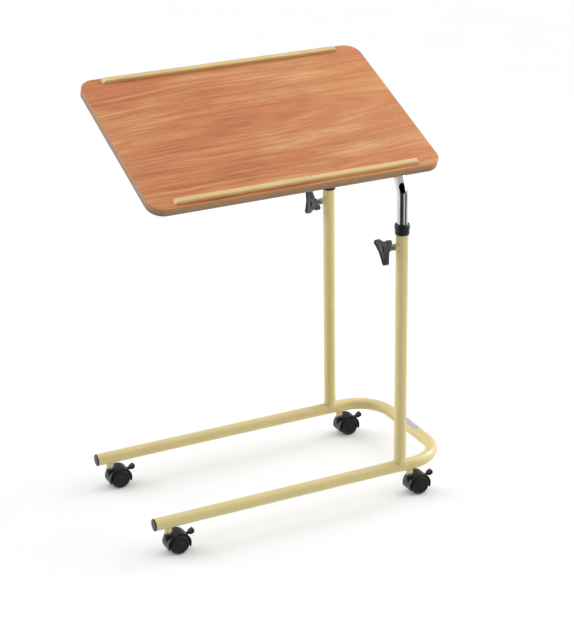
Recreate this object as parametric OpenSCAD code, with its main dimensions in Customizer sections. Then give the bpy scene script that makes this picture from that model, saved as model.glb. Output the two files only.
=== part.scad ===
// Overbed table on castors: U-shaped floor tube, two uprights, telescoping inner frame and a tilting top.
// Millimetres, +Z up, +X towards the closed end of the floor tube, -Y towards the low edge of the top.
// The origin is on the floor, under the middle of the whole table.

/* [Floor tube] */
// Outside length of the floor tube, end caps included
base_len = 676; // [660:1:690]
// Distance between the two legs, centre to centre
leg_gap = 317; // [310:1:320]
// Height of the leg centre line above the floor
leg_z = 70; // [68:0.5:74]
// Outside diameter of the floor tube, the uprights and the spine
tube_d = 25.4; // [25:0.1:26]
// Wall thickness of the steel tubes
tube_wall = 1.2; // [1:0.1:1.4]
// Centre-line radius of the floor tube's bends
base_bend_r = 80; // [70:1:90]
// Y of the plane midway between the legs
mid_y = 18; // [16:0.5:19]

/* [Uprights] */
// X of both uprights
upright_x = 216; // [212:1:220]
// Height of the upright mouths, where the collars begin
collar_z = 583; // [570:1:585]
// Outside diameter of the collars
collar_d = 31; // [29:0.5:32]
// Height of the collars
collar_h = 22; // [18:1:24]
// Height of the clamp screws
clamp_z = 558; // [520:1:560]

/* [Inner frame] */
// Outside diameter of the telescoping inner tube
inner_d = 22; // [21.6:0.1:22]
// Centre-line radius of the inner tube's bends
inner_bend_r = 57; // [54:1:60]
// Height of the inner tube's crossbar centre line at this height setting
crossbar_z = 716; // [714:1:718]
// Height of the inner tube's lower ends at this height setting
inner_foot_z = 200; // [180:1:220]

/* [Top] */
// Length of the top
top_len = 610; // [600:1:620]
// Depth of the top
top_depth = 401; // [395:1:410]
// Thickness of the top
top_thick = 16; // [15:0.5:18]
// Corner radius of the top
top_corner_r = 32; // [25:1:40]
// X of the middle of the top
top_x = -29; // [-34:1:-28]
// Distance from the tilt axis to the writing surface
top_rise = 78; // [76:0.5:80]
// Tilt of the top, low edge towards -Y
top_tilt = 22.5; // [15:0.5:25]
// Thickness of the edge banding
band_t = 1.5; // [1:0.1:2]
// Length of the two retaining lips
lip_len = 514; // [480:1:520]
// Width of the retaining lips
lip_w = 13; // [11:0.5:14]
// Height of the retaining lips above the top
lip_h = 6.5; // [6:0.5:10]
// Distance from the low edge to the low lip
low_lip_inset = 9.5; // [8:0.5:12]
// Distance from the high edge to the high lip
high_lip_inset = 5; // [4:0.5:8]

/* [Clamp knobs] */
// Reach of the knob lobes from the screw axis
knob_r = 32.5; // [28:0.5:34]
// Thickness of the lobed part
knob_t = 12; // [10:0.5:13]
// Radius of the clamp screws
screw_r = 4; // [3.5:0.1:4]

/* [Castors] */
// Diameter of the castor wheels
wheel_d = 42; // [40:0.5:42]
// Overall width across the two wheels
castor_w = 35; // [34:0.5:36]
// Horizontal distance from the stem to the axle
castor_trail = 18; // [17:0.5:18]
// X of the castor stems at the open end
castor_x_open = -307.5; // [-310:0.5:-304]
// X of the castor stems at the closed end
castor_x_closed = 239; // [235:1:240]

/* [Hidden] */
$fn = 96;

// Colours
cream = [0.86, 0.79, 0.60];
bright = [0.78, 0.79, 0.80];
black = [0.10, 0.10, 0.11];
grey = [0.30, 0.31, 0.32];
steel = [0.62, 0.63, 0.65];

// Clearances
run = 0.05;   // radial, for a pin or tube that turns or slides in a hole
slip = 0.3;   // between pieces that pass each other
eps = 0.01;   // overlap that keeps a cut clean

// Tubes
tube_r = tube_d / 2;
bore_r = tube_r - tube_wall;
inner_r = inner_d / 2;
inner_bore_r = inner_r - tube_wall;
end_x = -base_len / 2;
cross_x = base_len / 2 - tube_r;
cap_flange = 2.5;
leg_start_x = end_x + cap_flange;

// Uprights and clamps
upright_top = collar_z + collar_h - 4;
boss_r = 7;
boss_end = tube_r + 4.5;
knob_face = 35.5;     // distance from the upright's axis to the back of the lobes
knob_boss_r = 8.5;
knob_boss_len = 6;
nut_start = boss_end + 2;
nut_t = 5;

// Inner frame, spine and cradle
spine_gap = 2.3;
spine_z = crossbar_z + inner_r + spine_gap + tube_r;
spine_start = -265;
spine_end = 252;
cradle_len = 56;
cradle_w = 44;
cradle_bolt_x = 21;
cradle_bolt_y = 17;
bolt_r = 3;

// Saddles, in the top's own frame: tilt axis at the origin, writing surface at z = top_rise
under_z = top_rise - top_thick;
hub_r = 18.5;
hub_len = 34;
flange_t = 3;
flange_w = 110;
web_t = 5;
saddle_x = [-235, -30, 150];
tilt_boss_end = 32;
tilt_knob_face = 46;
stop_pin_r = 3;
stop_pin_x = 162;
tilt_limit = 30;
tilt_slot_half = tilt_limit + 15;
slot_len = 9;
wood_screw_r = 2;
groove = 0.8;

// Castors
wheel_r = wheel_d / 2;
axle_r = 2.5;
hood_r = wheel_r + 4;
hood_bore_r = wheel_r + 1.5;
hood_half = castor_w / 2 - 1.5;
rib_half = 3.6;
wheel_in = rib_half + 0.4;
hood_low = -8;
stem_r = 4;
socket_r = 7.5;
stem_boss_r = 8.5;
stem_boss_top = wheel_r + 22.6;
socket_low = stem_boss_top + 5;
socket_top = leg_z + 8;
lever_pivot = [9, 10];
lever_slot = 2.6;
lever_pin_r = 1.5;

// The places that repeat
sides = [-1, 1];
castor_spots = [
    [castor_x_open, mid_y - leg_gap / 2],
    [castor_x_open, mid_y + leg_gap / 2],
    [castor_x_closed, mid_y - leg_gap / 2],
    [castor_x_closed, mid_y + leg_gap / 2]
];

// ---------- helpers ----------

// Rod of radius r along +X from x0 to x1
module rod_x(r, x0, x1) {
    translate([x0, 0, 0])
        rotate([0, 90, 0])
            cylinder(r = r, h = x1 - x0);
}

// Rod of radius r along +Y from y0 to y1
module rod_y(r, y0, y1) {
    translate([0, y0, 0])
        rotate([-90, 0, 0])
            cylinder(r = r, h = y1 - y0);
}

// Rectangle with round corners, built from straight and round pieces
module round_rect(l, w, r) {
    square([l - 2 * r, w], center = true);
    square([l, w - 2 * r], center = true);
    for (sx = sides)
        for (sy = sides)
            translate([sx * (l / 2 - r), sy * (w / 2 - r)])
                circle(r = r);
}

// Solid U of radius r that follows the floor tube's centre line
module floor_u(r, x0) {
    bend_x = cross_x - base_bend_r;
    bend_y = leg_gap / 2 - base_bend_r;
    for (s = sides) {
        translate([0, s * leg_gap / 2, 0])
            rod_x(r, x0, bend_x);
        translate([bend_x, s * bend_y, 0])
            rotate([0, 0, s > 0 ? 0 : -90])
                rotate_extrude(angle = 90)
                    translate([base_bend_r, 0])
                        circle(r = r);
    }
    translate([cross_x, 0, 0])
        rod_y(r, -bend_y, bend_y);
}

// Solid upside-down U of radius r that follows the inner frame's centre line
module inner_u(r, z0) {
    bend_z = crossbar_z - inner_bend_r;
    bend_y = leg_gap / 2 - inner_bend_r;
    for (s = sides) {
        translate([0, s * leg_gap / 2, z0])
            cylinder(r = r, h = bend_z - z0);
        translate([0, s * bend_y, bend_z])
            rotate([90, 0, s > 0 ? 90 : -90])
                rotate_extrude(angle = 90)
                    translate([inner_bend_r, 0])
                        circle(r = r);
    }
    translate([0, 0, crossbar_z])
        rod_y(r, -bend_y, bend_y);
}

// Puts children at the middle of the leg's centre line on side s
module on_leg(s) {
    translate([0, mid_y + s * leg_gap / 2, leg_z])
        children();
}

// Puts children at the tilt axis, in the frame of the tilted top
module on_top() {
    translate([0, mid_y, spine_z])
        rotate([top_tilt, 0, 0])
            children();
}

// ---------- floor frame ----------

module floor_tube() {
    color(cream)
        difference() {
            translate([0, mid_y, leg_z])
                floor_u(tube_r, leg_start_x);
            translate([0, mid_y, leg_z])
                floor_u(bore_r, leg_start_x - eps);
            for (p = castor_spots)
                translate([p[0], p[1], leg_z - 20])
                    cylinder(r = socket_r, h = 20);
        }
}

module upright(s) {
    color(cream)
        on_leg(s)
            difference() {
                translate([upright_x, 0, 0])
                    cylinder(r = tube_r, h = upright_top - leg_z);
                translate([upright_x, 0, -eps])
                    cylinder(r = bore_r + 0.1, h = upright_top - leg_z + 1);
                rod_x(tube_r, upright_x - 20, upright_x + 20);
                translate([upright_x, 0, clamp_z - leg_z])
                    rod_x(screw_r + 0.5, -tube_r - 1, 0);
            }
}

module end_cap(s) {
    color(black)
        on_leg(s)
            union() {
                rod_x(tube_r, end_x, leg_start_x);
                rod_x(bore_r, leg_start_x - eps, leg_start_x + 18);
            }
}

module collar(s) {
    color(black)
        on_leg(s)
            translate([upright_x, 0, collar_z - leg_z])
                difference() {
                    union() {
                        cylinder(r = collar_d / 2, h = collar_h - 1.5);
                        cylinder(r = collar_d / 2 - 1.2, h = collar_h);
                    }
                    translate([0, 0, -eps])
                        cylinder(r = tube_r, h = upright_top - collar_z + eps);
                    translate([0, 0, -eps])
                        cylinder(r = inner_r + run, h = collar_h + 1);
                }
}

module clamp_boss(s) {
    color(cream)
        on_leg(s)
            translate([upright_x, 0, clamp_z - leg_z])
                difference() {
                    rod_x(boss_r, -boss_end, -tube_r + 4);
                    translate([0, 0, -20])
                        cylinder(r = tube_r, h = 40);
                    rod_x(screw_r + run, -boss_end - 1, 0);
                }
}

module castor_sockets() {
    color(cream)
        for (p = castor_spots)
            translate([p[0], p[1], 0])
                difference() {
                    translate([0, 0, socket_low])
                        cylinder(r = socket_r, h = socket_top - socket_low);
                    translate([0, 0, socket_low - 1])
                        cylinder(r = stem_r + run, h = socket_top - socket_low + 2);
                }
}

// A blank printed label that wraps part of the closed end
module blank_label() {
    label_len = 90;
    color([0.80, 0.80, 0.80])
        translate([cross_x, mid_y, leg_z])
            difference() {
                intersection() {
                    rod_y(tube_r + 0.2, -label_len / 2, label_len / 2);
                    rotate([0, -40, 0])
                        translate([0, -label_len / 2, 0])
                            cube([20, label_len, 20]);
                }
                rod_y(tube_r, -label_len, label_len);
            }
}

// ---------- inner frame and spine ----------

module inner_frame() {
    color(bright)
        translate([upright_x, mid_y, 0])
            difference() {
                inner_u(inner_r, inner_foot_z);
                inner_u(inner_bore_r, inner_foot_z - eps);
            }
}

module guide_bush(s) {
    head_h = 16;
    plug_h = 22;
    color(black)
        translate([upright_x, mid_y + s * leg_gap / 2, inner_foot_z - head_h])
            difference() {
                union() {
                    cylinder(r = bore_r + 0.1 - run, h = head_h);
                    cylinder(r = inner_bore_r, h = head_h + plug_h);
                }
                translate([0, 0, -eps])
                    cylinder(r = 6, h = head_h + plug_h + 1);
            }
}

module spine_tube() {
    color(cream)
        translate([0, mid_y, spine_z])
            difference() {
                rod_x(tube_r, spine_start, spine_end);
                rod_x(bore_r, spine_start - eps, spine_end + eps);
                translate([stop_pin_x, 0, 0])
                    cylinder(r = stop_pin_r, h = tube_r + 1);
            }
}

module spine_plugs() {
    color(black)
        translate([0, mid_y, spine_z])
            for (end = [[spine_start, -1], [spine_end, 1]])
                translate([end[0], 0, 0])
                    scale([end[1], 1, 1])
                        union() {
                            rod_x(tube_r, 0, 3);
                            rod_x(bore_r, -15, eps);
                        }
}

module tilt_stop_pin() {
    color(steel)
        translate([stop_pin_x, mid_y, spine_z + tube_r - 5])
            cylinder(r = stop_pin_r, h = 9.5);
}

// Outline shared by the two halves of the cradle, with its bolt holes
module cradle_half(z0, z1) {
    translate([upright_x, mid_y, 0])
        difference() {
            translate([-cradle_len / 2, -cradle_w / 2, z0])
                cube([cradle_len, cradle_w, z1 - z0]);
            translate([0, 0, spine_z])
                rod_x(tube_r, -cradle_len, cradle_len);
            translate([0, 0, crossbar_z])
                rod_y(inner_r, -cradle_w, cradle_w);
            for (sx = sides)
                for (sy = sides)
                    translate([sx * cradle_bolt_x, sy * cradle_bolt_y, z0 - 1])
                        cylinder(r = bolt_r, h = z1 - z0 + 2);
        }
}

module cradle_block() {
    color(cream)
        cradle_half(crossbar_z - 8, spine_z - 1);
}

module cradle_cap() {
    color(cream)
        cradle_half(spine_z + 1, spine_z + tube_r + 4);
}

module cradle_bolts() {
    head_z = spine_z + tube_r + 4;
    foot_z = crossbar_z - 8;
    color(steel)
        translate([upright_x, mid_y, 0])
            for (sx = sides)
                for (sy = sides)
                    translate([sx * cradle_bolt_x, sy * cradle_bolt_y, 0]) {
                        translate([0, 0, foot_z - 7])
                            cylinder(r = bolt_r, h = head_z - foot_z + 8);
                        translate([0, 0, head_z])
                            cylinder(r = 5.5, h = 4, $fn = 6);
                        translate([0, 0, foot_z - 5])
                            cylinder(r = 5.5, h = 5, $fn = 6);
                    }
}

// ---------- top ----------

// Footprint of a lip, seen from above, grown by g on every side
module lip_outline(y0, g) {
    translate([-lip_len / 2 - g, y0 - g])
        square([lip_len + 2 * g, lip_w + 2 * g]);
}

low_lip_y = -top_depth / 2 + low_lip_inset;
high_lip_y = top_depth / 2 - high_lip_inset - lip_w;

module table_top() {
    color([0.76, 0.51, 0.36])
        on_top()
            translate([top_x, 0, under_z])
                difference() {
                    linear_extrude(height = top_thick)
                        round_rect(top_len - 2 * band_t, top_depth - 2 * band_t, top_corner_r - band_t);
                    for (y0 = [low_lip_y, high_lip_y])
                        translate([0, 0, top_thick - groove])
                            linear_extrude(height = groove + 1)
                                lip_outline(y0, 0.15);
                    for (x = saddle_x)
                        for (sx = sides)
                            for (sy = sides)
                                translate([x - top_x + sx * 11, sy * 46, -1])
                                    cylinder(r = wood_screw_r, h = 11);
                }
}

module edge_band() {
    color([0.60, 0.47, 0.35])
        on_top()
            translate([top_x, 0, under_z])
                linear_extrude(height = top_thick)
                    difference() {
                        round_rect(top_len, top_depth, top_corner_r);
                        round_rect(top_len - 2 * band_t, top_depth - 2 * band_t, top_corner_r - band_t);
                    }
}

// Strip with a rounded crest and sloping ends, glued in its groove
module lip(y0) {
    full_h = lip_h + groove;
    crest_r = min(4, full_h / 2 - 0.2);
    slope = lip_h;
    color([0.86, 0.74, 0.52])
        on_top()
            translate([top_x - lip_len / 2, y0, top_rise - groove])
                intersection() {
                    rotate([90, 0, 90])
                        linear_extrude(height = lip_len)
                            union() {
                                square([lip_w, full_h - crest_r]);
                                translate([crest_r, 0])
                                    square([lip_w - 2 * crest_r, full_h]);
                                for (x = [crest_r, lip_w - crest_r])
                                    translate([x, full_h - crest_r])
                                        circle(r = crest_r);
                            }
                    translate([0, lip_w + 1, 0])
                        rotate([90, 0, 0])
                            linear_extrude(height = lip_w + 2)
                                polygon([
                                    [0, -1], [lip_len, -1], [lip_len, groove + 0.5],
                                    [lip_len - slope, full_h + 0.5], [slope, full_h + 0.5],
                                    [0, groove + 0.5]
                                ]);
                }
}

// Saddle body without its bore: hub, web and flange
module saddle_body() {
    rod_x(hub_r, -hub_len / 2, hub_len / 2);
    translate([-web_t / 2, 0, 0])
        rotate([90, 0, 90])
            linear_extrude(height = web_t)
                polygon([
                    [-hub_r, 0], [hub_r, 0],
                    [flange_w / 2 - 8, under_z - flange_t], [8 - flange_w / 2, under_z - flange_t]
                ]);
    translate([-hub_len / 2, -flange_w / 2, under_z - flange_t])
        cube([hub_len, flange_w, flange_t]);
}

// Cuts that every saddle has: the bore for the spine and the screw holes
module saddle_cuts() {
    rod_x(tube_r + run, -hub_len, hub_len);
    for (sx = sides)
        for (sy = sides)
            translate([sx * 11, sy * 46, under_z - flange_t - 1])
                cylinder(r = wood_screw_r, h = flange_t + 2);
}

module saddle_open_end() {
    color(cream)
        on_top()
            translate([saddle_x[0], 0, 0])
                difference() {
                    saddle_body();
                    saddle_cuts();
                }
}

module saddle_clamp() {
    color(cream)
        on_top()
            translate([saddle_x[1], 0, 0])
                difference() {
                    union() {
                        saddle_body();
                        rod_y(9, -tilt_boss_end, 0);
                    }
                    saddle_cuts();
                    rod_y(screw_r + run, -tilt_boss_end - 1, 0);
                }
}

// The slot at one end of this hub meets the stop pin at both ends of the tilt
module saddle_closed_end() {
    slot_h = hub_r + 3;
    slot_x = stop_pin_x - saddle_x[2] - slot_len / 2;
    color(cream)
        on_top()
            translate([saddle_x[2], 0, 0])
                difference() {
                    saddle_body();
                    saddle_cuts();
                    translate([slot_x, 0, 0])
                        rotate([90, 0, 90])
                            linear_extrude(height = slot_len)
                                polygon([
                                    [0, 0],
                                    [slot_h * tan(tilt_slot_half), slot_h],
                                    [-slot_h * tan(tilt_slot_half), slot_h]
                                ]);
                }
}

module saddle_screws() {
    color(steel)
        on_top()
            for (x = saddle_x)
                for (sx = sides)
                    for (sy = sides)
                        translate([x + sx * 11, sy * 46, under_z - flange_t]) {
                            cylinder(r = wood_screw_r, h = flange_t + 9);
                            translate([0, 0, -2.4])
                                cylinder(r = 3.8, h = 2.4);
                        }
}

// ---------- clamp knobs ----------

// Three-lobed knob whose back is at z = 0 and whose boss points to -z
module knob_shape(turn) {
    lobe_r = 5.8;
    rotate([0, 0, turn])
        difference() {
            union() {
                cylinder(r = 14, h = knob_t);
                translate([0, 0, -knob_boss_len])
                    cylinder(r = knob_boss_r, h = knob_boss_len + eps);
                for (a = [0, 120, 240])
                    rotate([0, 0, a])
                        linear_extrude(height = knob_t)
                            union() {
                                translate([0, -lobe_r])
                                    square([knob_r - lobe_r, 2 * lobe_r]);
                                translate([knob_r - lobe_r, 0])
                                    circle(r = lobe_r);
                                polygon([[8, -11.5], [24, -lobe_r], [24, lobe_r], [8, 11.5]]);
                            }
            }
            translate([0, 0, -knob_boss_len - 1])
                cylinder(r = screw_r, h = knob_boss_len + knob_t - 2);
        }
}

module height_knob(s) {
    color(grey)
        on_leg(s)
            translate([upright_x - knob_face, 0, clamp_z - leg_z])
                rotate([0, -90, 0])
                    knob_shape(s > 0 ? 26 : 196);
}

// Clamp screw along +z from its tip, with a hex nut locked on it
module clamp_screw(tip, nut, end) {
    translate([0, 0, tip])
        cylinder(r = screw_r, h = end - tip);
    translate([0, 0, nut])
        cylinder(r = 7, h = nut_t, $fn = 6);
}

module height_screw(s) {
    color(steel)
        on_leg(s)
            translate([upright_x, 0, clamp_z - leg_z])
                rotate([0, -90, 0])
                    clamp_screw(inner_r + slip, nut_start, knob_face + knob_t - 3);
}

module tilt_knob() {
    color(grey)
        on_top()
            translate([saddle_x[1], -tilt_knob_face, 0])
                rotate([90, 0, 0])
                    knob_shape(90);
}

module tilt_screw() {
    color(steel)
        on_top()
            translate([saddle_x[1], 0, 0])
                rotate([90, 0, 0])
                    clamp_screw(tube_r + slip, tilt_boss_end + 1.5, tilt_knob_face + knob_t - 3);
}

// ---------- castors ----------

// Puts children at the axle of castor i, with the stem at x = -castor_trail
module at_axle(i) {
    p = castor_spots[i];
    translate([p[0] + castor_trail, p[1], wheel_r])
        children();
}

module castor_housing(i) {
    color(black)
        at_axle(i) {
            difference() {
                union() {
                    rod_y(hood_r, -hood_half, hood_half);
                    translate([-castor_trail, 0, 8])
                        cylinder(r = stem_boss_r, h = stem_boss_top - wheel_r - 8);
                }
                for (s = sides)
                    translate([0, s > 0 ? rib_half : -hood_half - 1, 0])
                        rod_y(hood_bore_r, 0, hood_half - rib_half + 1);
                translate([-40, -40, hood_low - 40])
                    cube([80, 80, 40]);
                rod_y(axle_r, -hood_half - 1, hood_half + 1);
                translate([-castor_trail, 0, 6])
                    cylinder(r = stem_r, h = 40);
                translate([lever_pivot[0] - 5, -lever_slot, lever_pivot[1] - 4.5])
                    cube([30, 2 * lever_slot, 15]);
                translate([lever_pivot[0], 0, lever_pivot[1]])
                    rod_y(6, -lever_slot, lever_slot);
            }
            translate([lever_pivot[0], 0, lever_pivot[1]])
                rod_y(lever_pin_r, -lever_slot, lever_slot);
        }
}

module castor_stem(i) {
    color(steel)
        at_axle(i)
            translate([-castor_trail, 0, 0])
                union() {
                    translate([0, 0, 8])
                        cylinder(r = stem_r, h = socket_top - wheel_r - 10);
                    translate([0, 0, stem_boss_top - wheel_r])
                        cylinder(r = 6.5, h = 5 - slip);
                }
}

module castor_axle(i) {
    color(steel)
        at_axle(i)
            rod_y(axle_r, 3 - castor_w / 2, castor_w / 2 - 3);
}

// Wheel on side s: solid disc with a dished face outside and a hollow inside
module castor_wheel(i, s) {
    w = castor_w / 2 - wheel_in;
    color(black)
        at_axle(i)
            translate([0, s * wheel_in, 0])
                rotate([s > 0 ? -90 : 90, 0, 0])
                    rotate_extrude()
                        polygon([
                            [axle_r + run, 0], [6, 0], [6, w - 4], [wheel_r - 5, w - 4], [wheel_r - 5, 0],
                            [wheel_r - 1.5, 0], [wheel_r, 1.5], [wheel_r, w - 3], [wheel_r - 1, w - 1],
                            [wheel_r - 3, w], [wheel_r - 5, w], [wheel_r - 6, w - 1], [5, w - 1], [4, w],
                            [0, w], [0, w - 2.5], [axle_r + run, w - 2.5]
                        ]);
}

// Brake lever on side view: pivot eye and arm inside the rib, paddle outside the hood
module castor_brake(i) {
    color(black)
        at_axle(i)
            difference() {
                union() {
                    translate([lever_pivot[0], 0, lever_pivot[1]])
                        rod_y(4, -2.3, 2.3);
                    translate([lever_pivot[0], 2.3, lever_pivot[1]])
                        rotate([90, 0, 0])
                            linear_extrude(height = 4.6)
                                polygon([[0, -1], [18, 2], [18, 7.5], [0, 4]]);
                    translate([lever_pivot[0], 5.5, lever_pivot[1]])
                        rotate([90, 0, 0])
                            linear_extrude(height = 11)
                                polygon([
                                    [16.5, 2.2], [22, 2.2], [26.5, 4.5],
                                    [26.5, 11.5], [24, 12.3], [16.5, 8]
                                ]);
                }
                translate([lever_pivot[0], 0, lever_pivot[1]])
                    rod_y(lever_pin_r + run, -3, 3);
            }
}

floor_tube();
upright(-1);  // upright_near
upright(1);  // upright_far
end_cap(-1);  // end_cap_near
end_cap(1);  // end_cap_far
collar(-1);  // collar_near
collar(1);  // collar_far
clamp_boss(-1);  // clamp_boss_near
clamp_boss(1);  // clamp_boss_far
castor_sockets();
blank_label();
inner_frame();
guide_bush(-1);  // guide_bush_near
guide_bush(1);  // guide_bush_far
spine_tube();
spine_plugs();
cradle_block();
cradle_cap();
cradle_bolts();
tilt_stop_pin();
table_top();
edge_band();
lip(low_lip_y);  // lip_low
lip(high_lip_y);  // lip_high
saddle_open_end();
saddle_clamp();
saddle_closed_end();
saddle_screws();
height_knob(-1);  // knob_near
height_screw(-1);  // knob_screw_near
height_knob(1);  // knob_far
height_screw(1);  // knob_screw_far
tilt_knob();
tilt_screw();
castor_housing(0);  // castor_1_housing
castor_stem(0);  // castor_1_stem
castor_axle(0);  // castor_1_axle
castor_wheel(0, -1);  // castor_1_wheel_a
castor_wheel(0, 1);  // castor_1_wheel_b
castor_brake(0);  // castor_1_brake
castor_housing(1);  // castor_2_housing
castor_stem(1);  // castor_2_stem
castor_axle(1);  // castor_2_axle
castor_wheel(1, -1);  // castor_2_wheel_a
castor_wheel(1, 1);  // castor_2_wheel_b
castor_brake(1);  // castor_2_brake
castor_housing(2);  // castor_3_housing
castor_stem(2);  // castor_3_stem
castor_axle(2);  // castor_3_axle
castor_wheel(2, -1);  // castor_3_wheel_a
castor_wheel(2, 1);  // castor_3_wheel_b
castor_brake(2);  // castor_3_brake
castor_housing(3);  // castor_4_housing
castor_stem(3);  // castor_4_stem
castor_axle(3);  // castor_4_axle
castor_wheel(3, -1);  // castor_4_wheel_a
castor_wheel(3, 1);  // castor_4_wheel_b
castor_brake(3);  // castor_4_brake
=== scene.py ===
"""Overbed table on castors: the looks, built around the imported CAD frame.

Metres, +Z up, +X towards the closed end of the floor tube, -Y towards the low edge of the top.
"""

import math

import bmesh
import bpy
from mathutils import Matrix, Vector


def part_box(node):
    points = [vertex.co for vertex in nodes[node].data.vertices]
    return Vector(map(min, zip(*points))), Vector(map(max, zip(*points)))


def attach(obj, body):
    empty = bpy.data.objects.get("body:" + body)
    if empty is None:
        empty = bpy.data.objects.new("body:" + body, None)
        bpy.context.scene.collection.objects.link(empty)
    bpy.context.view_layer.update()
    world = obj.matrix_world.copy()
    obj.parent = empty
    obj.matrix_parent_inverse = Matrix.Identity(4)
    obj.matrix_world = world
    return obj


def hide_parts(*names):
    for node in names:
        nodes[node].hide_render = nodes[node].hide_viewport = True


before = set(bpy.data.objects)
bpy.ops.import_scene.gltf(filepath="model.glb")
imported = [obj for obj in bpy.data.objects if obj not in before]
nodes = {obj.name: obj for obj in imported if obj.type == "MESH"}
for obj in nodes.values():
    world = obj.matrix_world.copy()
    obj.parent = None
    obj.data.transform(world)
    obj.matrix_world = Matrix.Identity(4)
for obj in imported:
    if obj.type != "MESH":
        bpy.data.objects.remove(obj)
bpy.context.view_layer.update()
MM = 0.001
SIDES = {"near": -1, "far": 1}


# ---------- sizes, from the frame ----------


def middle(node):
    low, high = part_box(node)
    return (low + high) / 2


def extent(node):
    low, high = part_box(node)
    return high - low


floor_low, floor_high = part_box("floor_tube")
TUBE_R = extent("floor_tube").z / 2
TUBE_WALL = 1.2 * MM
LEG_Z = middle("floor_tube").z
LEG_Y = {"near": floor_low.y + TUBE_R, "far": floor_high.y - TUBE_R}
MID_Y = middle("floor_tube").y
CROSS_X = floor_high.x - TUBE_R
FLOOR_BEND = 80 * MM

UPRIGHT_X = middle("upright_near").x
UPRIGHT_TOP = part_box("upright_near")[1].z
CLAMP_Z = middle("clamp_boss_near").z
COLLAR_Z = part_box("collar_near")[0].z
COLLAR_H = extent("collar_near").z
COLLAR_R = extent("collar_near").x / 2

INNER_R = extent("inner_frame").x / 2
INNER_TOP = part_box("inner_frame")[1].z
INNER_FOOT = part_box("inner_frame")[0].z
INNER_BEND = 57 * MM

SPINE_Z = middle("spine_tube").z
TILT = math.radians(22.5)
TOP_MATRIX = Matrix.Translation((0, MID_Y, SPINE_Z)) @ Matrix.Rotation(TILT, 4, "X")
BAND_T = 1.5 * MM
TOP_LEN = extent("edge_band").x
TOP_X = middle("edge_band").x
TOP_THICK = 16 * MM
TOP_RISE = 78 * MM
TOP_DEPTH = (extent("edge_band").y - TOP_THICK * math.sin(TILT)) / math.cos(TILT)
TOP_CORNER = 32 * MM
LIP_LEN = extent("lip_low").x
LIP_W = 13 * MM
LIP_H = 6.5 * MM
LOW_LIP_INSET = 9.5 * MM
HIGH_LIP_INSET = 5 * MM

WHEEL_R = extent("castor_1_wheel_a").z / 2
CASTORS = {n: middle(f"castor_{n}_axle") for n in (1, 2, 3, 4)}
CASTOR_TRAIL = 18 * MM
HOOD_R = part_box("castor_1_housing")[1].z - WHEEL_R


# ---------- materials ----------


def srgb(r, g, b):
    """A linear colour from 0-255 display values."""
    values = [c / 255 for c in (r, g, b)]
    return [c / 12.92 if c < 0.04045 else ((c + 0.055) / 1.055) ** 2.4 for c in values] + [1]


class Graph:
    """A node tree. Each method adds a node and returns its output."""

    def __init__(self, tree):
        self.tree = tree

    def put(self, socket, value):
        if isinstance(value, bpy.types.NodeSocket):
            self.tree.links.new(value, socket)
        else:
            socket.default_value = value

    def add(self, kind, inputs, out=0, **settings):
        node = self.tree.nodes.new("ShaderNode" + kind)
        for key, value in settings.items():
            setattr(node, key, value)
        for key, value in inputs.items():
            self.put(node.inputs[key], value)
        return node.outputs[out]

    def place(self, x=1, y=1, z=1):
        """Object coordinates in metres, multiplied by x, y and z."""
        point = self.add("TexCoord", {}, out="Object")
        return self.add("VectorMath", {0: point, 1: (x, y, z)}, operation="MULTIPLY")

    def noise(self, place, detail=3, rough=0.5, scale=1):
        return self.add(
            "TexNoise", {"Vector": place, "Scale": scale, "Detail": detail, "Roughness": rough}
        )

    def math(self, operation, a, b=0.0, clamp=False):
        return self.add("Math", {0: a, 1: b}, operation=operation, use_clamp=clamp)

    def ramp(self, factor, *stops):
        """Colours or grey levels at places along 0 to 1."""
        node = self.tree.nodes.new("ShaderNodeValToRGB")
        elements = node.color_ramp.elements
        while len(elements) < len(stops):
            elements.new(0.5)
        for element, (place, colour) in zip(elements, stops):
            element.position = place
            element.color = colour if hasattr(colour, "__len__") else (colour,) * 3 + (1,)
        self.put(node.inputs[0], factor)
        return node.outputs[0]

    def mix(self, factor, a, b, blend="MIX"):
        return self.add(
            "Mix", {0: factor, 6: a, 7: b}, out=2, data_type="RGBA", blend_type=blend
        )

    def fade(self, value, low, high):
        """0 below low, 1 above high, smooth between."""
        inputs = {"Value": value, "From Min": low, "From Max": high}
        return self.add("MapRange", inputs, interpolation_type="SMOOTHSTEP")


class Surface(Graph):
    """A procedural material on the Principled shader."""

    def __init__(self, name, **shader):
        self.material = bpy.data.materials.new(name)
        self.material.use_nodes = True
        super().__init__(self.material.node_tree)
        self.shader = self.tree.nodes["Principled BSDF"]
        for key, value in shader.items():
            self.put(self.shader.inputs[key.replace("_", " ")], value)

    def bump(self, height, distance, strength=1.0):
        normal = self.add("Bump", {"Height": height, "Distance": distance, "Strength": strength})
        self.put(self.shader.inputs["Normal"], normal)

    def colour(self, value):
        self.put(self.shader.inputs["Base Color"], value)

    def rough(self, value):
        self.put(self.shader.inputs["Roughness"], value)


def powder_coat():
    """Cream powder coat: fine orange peel, slightly uneven thickness, a soft gloss."""
    g = Surface("cream_paint_look", Specular_IOR_Level=0.4, Coat_Weight=0.35, Coat_Roughness=0.14)
    cloud = g.noise(g.place(14, 14, 14), detail=4)
    peel = g.noise(g.place(620, 620, 620), detail=2)
    g.colour(g.ramp(cloud, (0.3, srgb(226, 208, 144)), (0.7, srgb(232, 215, 154))))
    g.rough(g.ramp(g.noise(g.place(45, 45, 45)), (0.3, 0.34), (0.7, 0.44)))
    g.bump(peel, 0.12 * MM, 0.5)
    return g.material


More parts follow.
